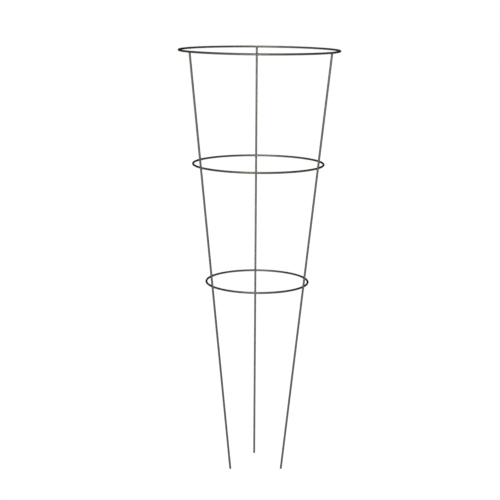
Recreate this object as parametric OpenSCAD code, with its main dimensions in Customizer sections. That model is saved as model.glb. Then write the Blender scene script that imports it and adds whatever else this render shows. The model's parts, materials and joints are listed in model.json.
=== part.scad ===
// Conical tomato cage of welded wire: three straight stake legs and three round rings.
// Millimetres, +Z up. The origin is on the ground, on the cage's axis, with the rear leg towards +Y.

/* [Cage] */
// Overall height, from the leg tips to the top of the top ring
cage_h = 838; // [680:1:1400]
// Inside diameter of the top ring
top_ring_id = 305; // [200:1:500]
// Diameter of the circle on which the leg tips stand
foot_circle_d = 119; // [60:1:190]
// Height of the middle ring, to the centre of its wire
middle_ring_h = 617; // [430:1:780]
// Height of the lower ring, to the centre of its wire
lower_ring_h = 382; // [120:1:560]
// Angle between the two front legs, seen from above
front_leg_angle = 118; // [100:1:150]

/* [Wire] */
// Diameter of the leg wire
leg_wire_d = 4.1; // [3:0.1:6]
// Diameter of the ring wire
ring_wire_d = 4.1; // [3:0.1:6]

/* [Welds] */
// Depth to which two welded wires sink into each other
set_down = 1.6; // [0.6:0.05:1.8]
// How far a weld nugget spreads past the contact patch of its two wires
nugget_rim = 0.4; // [0.2:0.05:0.8]
// Thickness of a weld nugget, across the joint
nugget_t = 2.8; // [2:0.1:3.4]
// How far the flash collar of a ring's closing seam stands proud of the wire
seam_upset = 0.4; // [0.2:0.05:0.8]
// Thickness of that collar, along the wire
seam_t = 2.8; // [2:0.1:3.6]
// Direction of the closing seams around the axis, counted from +X
seam_angle = 150; // [110:1:190]

/* [Hidden] */
$fn = 96;
side_names = ["left", "right", "rear"];
tier_names = ["top", "middle", "lower"];
sides = [0 : len(side_names) - 1];
tiers = [0 : len(tier_names) - 1];
top_tier = 0;

leg_r = leg_wire_d / 2;
ring_r = ring_wire_d / 2;
front_angle = -90;
leg_angles = [front_angle - front_leg_angle / 2, front_angle + front_leg_angle / 2, front_angle + 180];

// A leg's centreline runs from the foot circle to the centre of the top ring's wire.
foot_r = foot_circle_d / 2;
top_ring_h = cage_h - ring_r;
top_ring_r = top_ring_id / 2 + ring_r;
leg_tilt = atan((top_ring_r - foot_r) / top_ring_h);
leg_l = top_ring_h / cos(leg_tilt) - ring_r + set_down;

// The middle and lower rings lie inside the legs, pressed into them by the set-down.
crossing_gap = leg_r + ring_r - set_down;
function inner_ring_r(h) = foot_r + h * tan(leg_tilt) - crossing_gap / cos(leg_tilt);
ring_hs = [top_ring_h, middle_ring_h, lower_ring_h];
ring_centre_rs = [top_ring_r, inner_ring_r(middle_ring_h), inner_ring_r(lower_ring_h)];

// A nugget covers the patch in which two crossing wires meet.
nugget_r = sqrt((leg_r + ring_r) * set_down) + nugget_rim;
seam_r = ring_r + seam_upset;

wire_colour = [0.42, 0.42, 0.39];
weld_colour = [0.30, 0.29, 0.27];

function leg_node(side) = str("leg_", side_names[side]);
function ring_node(tier) = str(tier_names[tier], "_ring");
function weld_node(tier, side) = str(tier_names[tier], "_weld_", side_names[side]);
function seam_node(tier) = str(tier_names[tier], "_ring_seam");

// Lens with its axis on Z: the shape of a resistance weld's nugget and of the flash of a butt weld.
module lens(rim_r, thickness) {
  face_r = (rim_r ^ 2 + (thickness / 2) ^ 2) / thickness;
  face_z = face_r - thickness / 2;
  intersection() {
    translate([0, 0, face_z])
      sphere(face_r);
    translate([0, 0, -face_z])
      sphere(face_r);
  }
}

// Nugget half-way down the set-down: below the top ring's wire, on the leg's own line,
// and outside the wire of the other two, square to the leg.
module weld_nugget(tier, side) {
  lean = tier == top_tier ? 180 + leg_tilt : 90 + leg_tilt;
  rotate([0, 0, leg_angles[side]])
    translate([ring_centre_rs[tier], 0, ring_hs[tier]])
      rotate([0, lean, 0])
        translate([0, 0, ring_r - set_down / 2])
          lens(nugget_r, nugget_t);
}

// Collar round the joint of a ring's two ends, with its axis along the wire.
module seam_collar(tier) {
  rotate([0, 0, seam_angle])
    translate([ring_centre_rs[tier], 0, ring_hs[tier]])
      rotate([90, 0, 0])
        lens(seam_r, seam_t);
}

module ring_wire(tier) {
  translate([0, 0, ring_hs[tier]])
    rotate_extrude()
      translate([ring_centre_rs[tier], 0])
        circle(ring_r);
}

// Straight wire, longer than the leg at the foot, where the ground plane cuts it level.
module leg_wire(side) {
  spare = leg_wire_d;
  difference() {
    rotate([0, 0, leg_angles[side]])
      translate([foot_r, 0, 0])
        rotate([0, leg_tilt, 0])
          translate([0, 0, -spare])
            cylinder(r = leg_r, h = leg_l + spare);
    translate([-foot_circle_d, -foot_circle_d, -2 * spare])
      cube([2 * foot_circle_d, 2 * foot_circle_d, 2 * spare]);
  }
}

// Leg with the seats that the rings and their nuggets press into it.
module leg(side) {
  color(wire_colour)
    difference() {
      leg_wire(side);
      for (tier = tiers)
        ring_wire(tier);
      for (tier = tiers)
        weld_nugget(tier, side);
    }
}

// Ring, open at its seam, with a seat for each leg's nugget.
module ring(tier) {
  color(wire_colour)
    difference() {
      ring_wire(tier);
      seam_collar(tier);
      for (side = sides)
        weld_nugget(tier, side);
    }
}

module weld(tier, side) {
  color(weld_colour)
    weld_nugget(tier, side);
}

module seam(tier) {
  color(weld_colour)
    seam_collar(tier);
}

for (side = sides)
  leg(side);
for (tier = tiers)
  ring(tier);
for (tier = tiers, side = sides)
  weld(tier, side);
for (tier = tiers)
  seam(tier);
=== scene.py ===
import json
import math

import bmesh
import bpy
from mathutils import Matrix, Vector, noise


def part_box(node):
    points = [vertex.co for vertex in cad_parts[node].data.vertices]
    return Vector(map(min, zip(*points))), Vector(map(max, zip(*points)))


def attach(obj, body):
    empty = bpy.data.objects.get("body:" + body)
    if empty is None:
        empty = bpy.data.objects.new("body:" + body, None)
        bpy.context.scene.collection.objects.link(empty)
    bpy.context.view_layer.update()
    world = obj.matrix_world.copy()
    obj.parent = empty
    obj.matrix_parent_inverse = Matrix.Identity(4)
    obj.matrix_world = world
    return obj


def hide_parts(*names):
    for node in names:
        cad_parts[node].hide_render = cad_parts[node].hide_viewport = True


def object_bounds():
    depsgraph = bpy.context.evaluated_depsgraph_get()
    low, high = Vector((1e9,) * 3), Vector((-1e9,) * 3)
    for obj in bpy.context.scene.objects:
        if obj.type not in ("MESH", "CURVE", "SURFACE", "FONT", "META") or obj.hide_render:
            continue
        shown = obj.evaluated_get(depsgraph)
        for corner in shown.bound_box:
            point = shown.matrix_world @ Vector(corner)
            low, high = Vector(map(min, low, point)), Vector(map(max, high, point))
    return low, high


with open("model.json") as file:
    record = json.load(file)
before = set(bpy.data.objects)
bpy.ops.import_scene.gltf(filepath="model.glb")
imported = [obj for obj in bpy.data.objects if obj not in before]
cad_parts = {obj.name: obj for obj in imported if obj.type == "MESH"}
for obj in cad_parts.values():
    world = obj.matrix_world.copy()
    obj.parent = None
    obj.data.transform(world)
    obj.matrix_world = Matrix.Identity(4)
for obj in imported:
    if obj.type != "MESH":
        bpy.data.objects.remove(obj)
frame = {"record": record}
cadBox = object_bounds()
scene = bpy.context.scene
scene.view_settings.view_transform = "Standard"
mounts = {mount["name"]: mount for mount in frame["record"]["mounts"]}
sides = ("left", "right", "rear")
tiers = ("top", "middle", "lower")
mm = 0.001

# Node helpers


def plug(tree, value, socket):
    if isinstance(value, bpy.types.NodeSocket):
        tree.links.new(value, socket)
    else:
        socket.default_value = value


def addNode(tree, kind, settings=None, **inputs):
    node = tree.nodes.new(kind)
    for key, value in (settings or {}).items():
        setattr(node, key, value)
    for key, value in inputs.items():
        plug(tree, value, node.inputs[key.replace("_", " ")])
    return node


def calc(tree, operation, *values):
    node = addNode(tree, "ShaderNodeMath", {"operation": operation})
    for value, socket in zip(values, node.inputs):
        plug(tree, value, socket)
    return node.outputs[0]


def mixColours(tree, share, first, second):
    node = addNode(tree, "ShaderNodeMix", {"data_type": "RGBA"})
    used = [socket for socket in node.inputs if socket.enabled]
    for value, socket in zip((share, first, second), used):
        plug(tree, value, socket)
    return next(socket for socket in node.outputs if socket.enabled)


def newMaterial(name):
    material = bpy.data.materials.new(name)
    material.use_nodes = True
    material.node_tree.nodes.clear()
    return material, material.node_tree


# Camera and stage

shot = {
    "distance": 2.4836,  # metres from the cage's axis
    "height": 0.9547,
    "turn": 2.030,  # degrees that the camera stands to the left of the front
    "heading": 1.695,  # degrees to the right of +Y
    "pitch": -11.596,
    "roll": 0.551,
    "lens": 92.34,  # millimetres, as the sensor
    "sensor": 36.0,
    "reach": 2000.0,  # metres, past the floor's far edge
}


def aimCamera():
    data = bpy.data.cameras.new("shotCamera")
    data.lens, data.sensor_width, data.clip_end = shot["lens"], shot["sensor"], shot["reach"]
    camera = bpy.data.objects.new("shotCamera", data)
    turn = math.radians(shot["turn"])
    place = Vector((-math.sin(turn), -math.cos(turn), 0)) * shot["distance"]
    place.z = shot["height"]
    camera.matrix_world = (
        Matrix.Translation(place)
        @ Matrix.Rotation(-math.radians(shot["heading"]), 4, "Z")
        @ Matrix.Rotation(math.radians(90 + shot["pitch"]), 4, "X")
        @ Matrix.Rotation(math.radians(shot["roll"]), 4, "Z")
    )
    scene.collection.objects.link(camera)
    scene.camera = camera


stage = {
    "floorHalf": 900.0,  # metres, so that the floor fills the shot
    "glow": 0.998,  # white that the camera and reflections see
    "albedo": (0.05, 0.05, 0.05, 1),  # what takes the lamps and the cage's shadow
    "sky": 0.06,
    "paleSky": (0.12, 0.30),  # height of the direction over which the white horizon ends
}


def seenDirectly(tree):
    path = addNode(tree, "ShaderNodeLightPath").outputs
    seen = calc(tree, "MAXIMUM", path["Is Camera Ray"], path["Is Glossy Ray"])
    return calc(tree, "MAXIMUM", seen, path["Is Transmission Ray"])


def layFloor():
    bm = bmesh.new()
    bmesh.ops.create_grid(bm, x_segments=1, y_segments=1, size=stage["floorHalf"])
    mesh = bpy.data.meshes.new("studioFloor")
    bm.to_mesh(mesh)
    bm.free()
    floor = bpy.data.objects.new("studioFloor", mesh)
    scene.collection.objects.link(floor)
    material, tree = newMaterial("studioFloor")
    white = calc(tree, "MULTIPLY", seenDirectly(tree), stage["glow"])
    glow = addNode(tree, "ShaderNodeEmission", Strength=white)
    pale = addNode(tree, "ShaderNodeBsdfDiffuse", Color=stage["albedo"])
    both = addNode(tree, "ShaderNodeAddShader")
    for shader, socket in zip((glow, pale), both.inputs):
        tree.links.new(shader.outputs[0], socket)
    addNode(tree, "ShaderNodeOutputMaterial", Surface=both.outputs[0])
    mesh.materials.append(material)


def hangSky():
    world = bpy.data.worlds.new("studioSky")
    scene.world = world
    world.use_nodes = True
    tree = world.node_tree
    tree.nodes.clear()
    place = addNode(tree, "ShaderNodeTexCoord")
    parts = addNode(tree, "ShaderNodeSeparateXYZ", Vector=place.outputs["Generated"])
    low, high = stage["paleSky"]
    pale = addNode(
        tree, "ShaderNodeMapRange", {"interpolation_type": "SMOOTHSTEP"}, Value=parts.outputs["Z"],
        From_Min=low, From_Max=high, To_Min=1.0, To_Max=0.0,
    )
    level = calc(tree, "MULTIPLY", pale.outputs[0], seenDirectly(tree))
    strength = calc(tree, "MAXIMUM", level, stage["sky"])
    sky = addNode(tree, "ShaderNodeBackground", Color=(1, 1, 1, 1), Strength=strength)
    addNode(tree, "ShaderNodeOutputWorld", Surface=sky.outputs[0])


# Degrees to the right of the front, then metres and watts
lamps = {
    "key": {"azimuth": -12, "height": 1.75, "distance": 6.0, "size": 1.5, "watts": 372},
    "over": {"azimuth": -12, "height": 3.2, "distance": 1.6, "size": 1.0, "watts": 40},
    "backLeft": {"azimuth": 200, "height": 2.2, "distance": 5.0, "size": 2.0, "watts": 36},
    "backRight": {"azimuth": 160, "height": 2.2, "distance": 5.0, "size": 2.0, "watts": 36},
}


def hangLamps():
    aim = Vector((0, 0, (cadBox[0].z + cadBox[1].z) / 2))
    for name, lamp in lamps.items():
        data = bpy.data.lights.new(name, "AREA")
        data.shape, data.size, data.energy = "DISK", lamp["size"], lamp["watts"]
        lampObject = bpy.data.objects.new(name, data)
        angle = math.radians(lamp["azimuth"])
        place = Vector((math.sin(angle), -math.cos(angle), 0)) * lamp["distance"]
        place.z = lamp["height"]
        lampObject.location = place
        lampObject.rotation_euler = (aim - place).to_track_quat("-Z", "Y").to_euler()
        scene.collection.objects.link(lampObject)


aimCamera()
layFloor()
hangSky()
hangLamps()
print("stage: camera, floor, sky and lamps stand")

# Finishes

wireLook = {
    "tone": (0.102, 0.103, 0.089, 1),
    "shade": (0.061, 0.062, 0.055, 1),  # darker crystals and drawing lines
    "bloom": (0.155, 0.156, 0.137, 1),  # dry, paler specks
    "scorch": (0.085, 0.083, 0.070, 1),  # zinc dulled beside a weld
    "edgeTint": (0, 0, 0, 1),
    "roughness": 0.54,
    "bump": 0.4,
}
weldLook = {**wireLook, "scorch": (0.115, 0.113, 0.098, 1), "roughness": 0.52, "bump": 0.5}
cutLook = {**wireLook, "tone": (0.10, 0.096, 0.09, 1), "bloom": (0.075, 0.06, 0.048, 1), "bump": 0.8}

# Scales are per metre. A mask has the values at which it starts and is full, then its share.
zinc = {
    "crystals": 720,
    "drawnLines": (60, 2400, 1),  # along the wire and around it
    "lineDetail": 3,
    "patches": 55,
    "grain": 1500,
    "noiseDetail": 4,
    "patchPull": 0.12,  # how much a patch thickens the specks
    "speckMask": (0.56, 0.76, 1.0),
    "crystalMask": (0.1, 0.9, 0.6),
    "lineMask": (0.5, 0.7, 0.6),
    "raggedness": 0.8,  # how much the patches break the edge of a dulled zone
    "burntMask": (0.45, 1.1, 0.75),
    "dulling": {"crystal": 0.10, "speck": 0.12, "heat": 0.08, "line": 0.06},  # roughness that each adds
    "meanDulling": 0.12,  # about what they add together
    "relief": {"grain": 0.6, "crystal": 0.25},  # heights against that of the drawn lines
    "reliefDepth": 0.05 * mm,
}


def zincSkin():
    tree = bpy.data.node_groups.new("zincSkin", "ShaderNodeTree")
    for name, kind in (("Place", "Vector"), ("Run", "Vector"), ("Tone", "Color"), ("Shade", "Color"),
                       ("Bloom", "Color"), ("Scorch", "Color"), ("Heat", "Float"), ("Dullness", "Float")):
        tree.interface.new_socket(name, in_out="INPUT", socket_type="NodeSocket" + kind)
    for name, kind in (("Color", "Color"), ("Roughness", "Float"), ("Height", "Float")):
        tree.interface.new_socket(name, in_out="OUTPUT", socket_type="NodeSocket" + kind)
    given = addNode(tree, "NodeGroupInput").outputs

    def mask(value, limits):
        low, high, share = limits
        node = addNode(tree, "ShaderNodeMapRange", {"interpolation_type": "SMOOTHSTEP"},
                       Value=value, From_Min=low, From_Max=high, To_Max=share)
        return node.outputs[0]

    def cloud(place, scale, detail):
        return addNode(tree, "ShaderNodeTexNoise", Vector=place, Scale=scale, Detail=detail).outputs["Fac"]

    # crystals of the zinc, over a millimetre across, each with its own shade
    crystal = addNode(tree, "ShaderNodeTexVoronoi", Vector=given["Place"], Scale=zinc["crystals"])
    shade = addNode(tree, "ShaderNodeSeparateColor", Color=crystal.outputs["Color"]).outputs
    # lines left by drawing the wire, long along it and fine around it
    stretch = addNode(tree, "ShaderNodeMapping", Vector=given["Run"], Scale=zinc["drawnLines"])
    lines = cloud(stretch.outputs[0], 1, zinc["lineDetail"])
    # dry specks, thicker in some patches than in others
    patch = cloud(given["Place"], zinc["patches"], zinc["noiseDetail"])
    grain = cloud(given["Place"], zinc["grain"], zinc["noiseDetail"])
    specks = mask(calc(tree, "MULTIPLY_ADD", patch, zinc["patchPull"], grain), zinc["speckMask"])

    colour = mixColours(tree, mask(shade["Red"], zinc["crystalMask"]), given["Tone"], given["Shade"])
    colour = mixColours(tree, mask(lines, zinc["lineMask"]), colour, given["Shade"])
    colour = mixColours(tree, specks, colour, given["Bloom"])
    # the dulled zone beside a weld has a ragged edge
    burnt = mask(calc(tree, "MULTIPLY_ADD", patch, zinc["raggedness"], given["Heat"]), zinc["burntMask"])
    colour = mixColours(tree, burnt, colour, given["Scorch"])

    rough = given["Dullness"]
    dulled = {"crystal": shade["Green"], "speck": specks, "heat": given["Heat"], "line": lines}
    for name, share in zinc["dulling"].items():
        rough = calc(tree, "MULTIPLY_ADD", dulled[name], share, rough)
    height = lines
    raised = {"grain": grain, "crystal": shade["Blue"]}
    for name, share in zinc["relief"].items():
        height = calc(tree, "MULTIPLY_ADD", raised[name], share, height)
    addNode(tree, "NodeGroupOutput", Color=colour, Roughness=rough, Height=height)
    return tree


def zincMaterial(name, look, skin):
    material, tree = newMaterial(name)
    place = addNode(tree, "ShaderNodeTexCoord")
    run = addNode(tree, "ShaderNodeUVMap", {"uv_map": "run"})
    heat = addNode(tree, "ShaderNodeAttribute", {"attribute_name": "heat"})
    coat = addNode(
        tree, "ShaderNodeGroup", {"node_tree": skin}, Place=place.outputs["Object"], Run=run.outputs[0],
        Tone=look["tone"], Shade=look["shade"], Bloom=look["bloom"], Scorch=look["scorch"],
        Heat=heat.outputs["Fac"], Dullness=look["roughness"] - zinc["meanDulling"],
    )
    relief = addNode(
        tree, "ShaderNodeBump", Height=coat.outputs["Height"], Strength=look["bump"],
        Distance=zinc["reliefDepth"],
    )
    surface = addNode(
        tree, "ShaderNodeBsdfPrincipled", Metallic=1.0, Base_Color=coat.outputs["Color"],
        Roughness=coat.outputs["Roughness"], Normal=relief.outputs[0], Specular_Tint=look["edgeTint"],
    )
    addNode(tree, "ShaderNodeOutputMaterial", Surface=surface.outputs[0])
    return material


skin = zincSkin()
wireZinc = zincMaterial("wireZinc", wireLook, skin)
weldZinc = zincMaterial("weldZinc", weldLook, skin)
cutSteel = zincMaterial("cutSteel", cutLook, skin)
print("finishes: zinc of the wires and welds, cut steel of the tips")

# Wires

wire = {
    "around": 28,  # sides of the round wire
    "step": 2 * mm,
    "jointReach": 8 * mm,  # how far from a joint the mesh is finer
    "jointCuts": 2,
    "alongWire": 0.9,  # cosine over which an edge runs along the wire
    "unevenness": 0.06 * mm,
    "unevenScale": 140,  # per metre
    "flatDepth": 0.28 * mm,  # mark of a welding electrode
    "flatHalf": 5 * mm,
    "haloRadius": 5.5 * mm,  # burnt zinc round a weld
    "tipBevel": 0.35 * mm,
    "tipSegments": 3,
}


def jointCentre(tier, side):
    low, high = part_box(f"{tier}_weld_{side}")
    return (low + high) / 2


def ringSizes(tier):
    low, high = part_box(f"{tier}_ring")
    wireR = (high.z - low.z) / 2
    return wireR, high.x - wireR, low.z + wireR


def legLine(side):
    stake = mounts[f"stake_{side}"]
    return Vector(stake["pos_m"]), -Vector(stake["axis"]).normalized(), stake["dims"]["r_mm"] * mm


# A core gives, for a point, its run along the wire, the centre there and two directions across the wire


def ringCore(tier):
    _, ringR, height = ringSizes(tier)

    def core(point):
        angle = math.atan2(point.y, point.x)
        outward = Vector((math.cos(angle), math.sin(angle), 0))
        return angle * ringR, outward * ringR + Vector((0, 0, height)), outward, Vector((0, 0, 1))

    return core


def legCore(side):
    foot, up, _ = legLine(side)
    outward = (foot - up * foot.dot(up)).normalized()
    across = up.cross(outward)

    def core(point):
        run = (point - foot).dot(up)
        return run, foot + up * run, outward, across

    return core


def refineJoints(bm, core, joints):
    picked = []
    for edge in bm.edges:
        middle = (edge.verts[0].co + edge.verts[1].co) / 2
        if all((middle - joint).length > wire["jointReach"] for joint in joints):
            continue
        _, _, outward, across = core(middle)
        along = (edge.verts[1].co - edge.verts[0].co).normalized()
        if abs(along.dot(outward.cross(across))) > wire["alongWire"]:
            picked.append(edge)
    bmesh.ops.subdivide_edges(bm, edges=picked, cuts=wire["jointCuts"], use_grid_fill=True)


def pressFlats(bm, core, wireR, joints):
    for joint in joints:
        runHere, centre, _, _ = core(joint)
        press = (centre - joint).normalized()  # away from the other wire
        for vert in bm.verts:
            run, spine, _, _ = core(vert.co)
            near = abs(run - runHere) / wire["flatHalf"]
            if near >= 1:
                continue
            limit = wireR - wire["flatDepth"] * (1 - near * near) ** 2
            proud = (vert.co - spine).dot(press) - limit
            if proud > 0:
                vert.co -= press * proud


def dipAt(point, scale):
    return (noise.noise(point * scale) - 1) / 2  # never above 0, so that nothing outgrows its box


def unevenZinc(bm, core):
    for vert in bm.verts:
        _, spine, _, _ = core(vert.co)
        dip = dipAt(vert.co, wire["unevenScale"])
        vert.co += (vert.co - spine).normalized() * dip * wire["unevenness"]


def markWire(bm, core, joints, loop=0):
    heat = bm.verts.layers.float.new("heat")
    for vert in bm.verts:
        gap = min((vert.co - joint).length for joint in joints)
        vert[heat] = math.exp(-(gap / wire["haloRadius"]) ** 2)
    layer = bm.loops.layers.uv.new("run")
    for face in bm.faces:
        first = None
        for corner in face.loops:
            run, spine, outward, across = core(corner.vert.co)
            off = corner.vert.co - spine
            turn = math.atan2(off.dot(across), off.dot(outward))
            if first is None:
                first = run, turn
            # a face across the start of a round isn't stretched all the way back
            if loop:
                run += loop * round((first[0] - run) / loop)
            turn += math.tau * round((first[1] - turn) / math.tau)
            corner[layer].uv = run, turn * off.length


def finishPiece(bm, name, node, materials):
    bmesh.ops.recalc_face_normals(bm, faces=bm.faces[:])
    mesh = bpy.data.meshes.new(name)
    bm.to_mesh(mesh)
    bm.free()
    mesh.shade_smooth()
    for material in materials:
        mesh.materials.append(material)
    piece = bpy.data.objects.new(name, mesh)
    scene.collection.objects.link(piece)
    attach(piece, "root")
    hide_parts(node)


def bendRing(tier):
    wireR, ringR, height = ringSizes(tier)
    core = ringCore(tier)
    joints = [jointCentre(tier, side) for side in sides]
    bm = bmesh.new()
    section = Matrix.Translation((ringR, 0, height)) @ Matrix.Rotation(math.pi / 2, 4, "X")
    bmesh.ops.create_circle(bm, segments=wire["around"], radius=wireR, matrix=section)
    bmesh.ops.spin(bm, geom=bm.verts[:] + bm.edges[:], cent=(0, 0, 0), axis=(0, 0, 1), angle=math.tau,
                   steps=round(math.tau * ringR / wire["step"]), use_merge=True, use_duplicate=False)
    refineJoints(bm, core, joints)
    pressFlats(bm, core, wireR, joints)
    unevenZinc(bm, core)
    markWire(bm, core, joints, loop=math.tau * ringR)
    finishPiece(bm, f"{tier}Ring", f"{tier}_ring", [wireZinc])


def cutTip(bm, up):
    ends = [edge for edge in bm.edges if edge.is_boundary]
    for vert in {vert for edge in ends for vert in edge.verts}:
        if vert.co.z < wire["step"]:  # the lower end is cut level with the ground
            vert.co -= up * (vert.co.z / up.z)
    bmesh.ops.holes_fill(bm, edges=ends, sides=0)
    tip = min(bm.faces, key=lambda face: face.calc_center_median().z)
    tip.material_index = 1
    bmesh.ops.bevel(bm, geom=tip.edges[:], offset=wire["tipBevel"], offset_type="OFFSET",
                    segments=wire["tipSegments"], profile=0.5, affect="EDGES", material=-1)


def drawLeg(side):
    foot, up, wireR = legLine(side)
    core = legCore(side)
    joints = [jointCentre(tier, side) for tier in tiers]
    length = (joints[0] - foot).dot(up)
    steps = round(length / wire["step"])
    bm = bmesh.new()
    section = Matrix.Translation(foot) @ up.to_track_quat("Z", "Y").to_matrix().to_4x4()
    bmesh.ops.create_circle(bm, segments=wire["around"], radius=wireR, matrix=section)
    bmesh.ops.spin(bm, geom=bm.verts[:] + bm.edges[:], cent=(0, 0, 0), axis=up, angle=0,
                   dvec=up * length / steps, steps=steps, use_duplicate=False)
    refineJoints(bm, core, joints)
    pressFlats(bm, core, wireR, joints[1:])  # the top joint is at the leg's end
    unevenZinc(bm, core)
    cutTip(bm, up)
    markWire(bm, core, joints)
    finishPiece(bm, f"{side}Leg", f"leg_{side}", [wireZinc, cutSteel])


for tier in tiers:
    bendRing(tier)
for side in sides:
    drawLeg(side)
print("wires: rings bent, legs drawn and their tips cut")

# Welds

weld = {
    "roundness": 5,
    "fillet": 1.5 * mm,  # metal squeezed into the corner between the wires
    "fray": 0.7 * mm,  # how much that varies round the joint
    "frayScale": 1.9,  # how quickly it varies there
    "fraySpread": 900,  # per metre, so that no two joints look alike
    "sunk": 0.12 * mm,  # below the skin of the wires, where there is no fillet
    "halvings": 12,
    "heat": 1.0,
}


def heatAll(bm, amount):
    heat = bm.verts.layers.float.new("heat")
    for vert in bm.verts:
        vert[heat] = amount


def smoothUnion(first, second, blend):
    share = max(blend - abs(first - second), 0) / blend
    return min(first, second) - share * share * blend / 4


def fuseWeld(tier, side):
    low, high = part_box(f"{tier}_weld_{side}")
    centre, reach = (low + high) / 2, max(high - low) / 2
    ring, leg = ringCore(tier), legCore(side)
    ringWireR, _, _ = ringSizes(tier)
    _, _, legWireR = legLine(side)
    legEnd, _, _, _ = leg(centre)

    def depth(point, blend):
        run, legSpine, _, _ = leg(point)
        _, ringSpine, _, _ = ring(point)
        toLeg = (point - legSpine).length - legWireR
        toRing = (point - ringSpine).length - ringWireR
        if tier == "top":
            toLeg = max(toLeg, run - legEnd)  # here the leg stops in the joint
        return smoothUnion(toRing, toLeg, blend) + weld["sunk"]

    bm = bmesh.new()
    bmesh.ops.create_icosphere(bm, subdivisions=weld["roundness"], radius=1)
    for vert in bm.verts:
        way = vert.co.normalized()
        wave = noise.noise(way * weld["frayScale"] + centre * weld["fraySpread"])
        blend = weld["fillet"] + weld["fray"] * wave
        near, far = 0.0, reach
        # the skin of the joined wires is found by halving the way out
        if depth(centre + way * far, blend) > 0:
            for _ in range(weld["halvings"]):
                half = (near + far) / 2
                if depth(centre + way * half, blend) > 0:
                    far = half
                else:
                    near = half
        vert.co = centre + way * far
    heatAll(bm, weld["heat"])
    finishPiece(bm, f"{tier}Weld{side.title()}", f"{tier}_weld_{side}", [weldZinc])


for tier in tiers:
    for side in sides:
        fuseWeld(tier, side)
print("welds: metal squeezed into the joints")

# Seams

seam = {
    "half": 1.3 * mm,  # half the collar's length along the wire
    "lipAt": 0.45,  # share of it at which a lip stands
    "lipWidth": 0.28,  # share of it over which a lip falls off
    "cleft": 0.4,  # share of the upset that the cleft between the lips loses
    "sunk": 0.25,  # share of the upset by which a lip's foot lies below the wire's skin
    "along": 14,
    "around": 40,
    "lumps": 0.35,  # share of the upset
    "lumpScale": 700,  # per metre
    "heat": 0.8,
}


def flashCollar(tier):
    low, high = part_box(f"{tier}_ring_seam")
    wireR, _, _ = ringSizes(tier)
    upset = (high.z - low.z) / 2 - wireR
    _, spine, outward, up = ringCore(tier)((low + high) / 2)
    along = up.cross(outward)
    bm = bmesh.new()
    profile = []
    for index in range(seam["along"] + 1):
        share = 2 * index / seam["along"] - 1
        lip = math.exp(-((abs(share) - seam["lipAt"]) / seam["lipWidth"]) ** 2)
        rise = lip if abs(share) > seam["lipAt"] else max(lip, 1 - seam["cleft"])
        radius = wireR + upset * ((1 + seam["sunk"]) * rise - seam["sunk"])
        profile.append(bm.verts.new(spine + along * share * seam["half"] + outward * radius))
    edges = [bm.edges.new(pair) for pair in zip(profile, profile[1:])]
    bmesh.ops.spin(bm, geom=profile + edges, cent=spine, axis=along, angle=math.tau, steps=seam["around"],
                   use_merge=True, use_duplicate=False)
    bmesh.ops.holes_fill(bm, edges=[edge for edge in bm.edges if edge.is_boundary], sides=0)
    for vert in bm.verts:
        off = vert.co - spine
        off -= along * off.dot(along)
        lump = dipAt(vert.co, seam["lumpScale"]) * seam["lumps"]
        vert.co += off.normalized() * lump * upset
    heatAll(bm, seam["heat"])
    finishPiece(bm, f"{tier}Seam", f"{tier}_ring_seam", [weldZinc])


for tier in tiers:
    flashCollar(tier)
print("seams: flash collars upset")
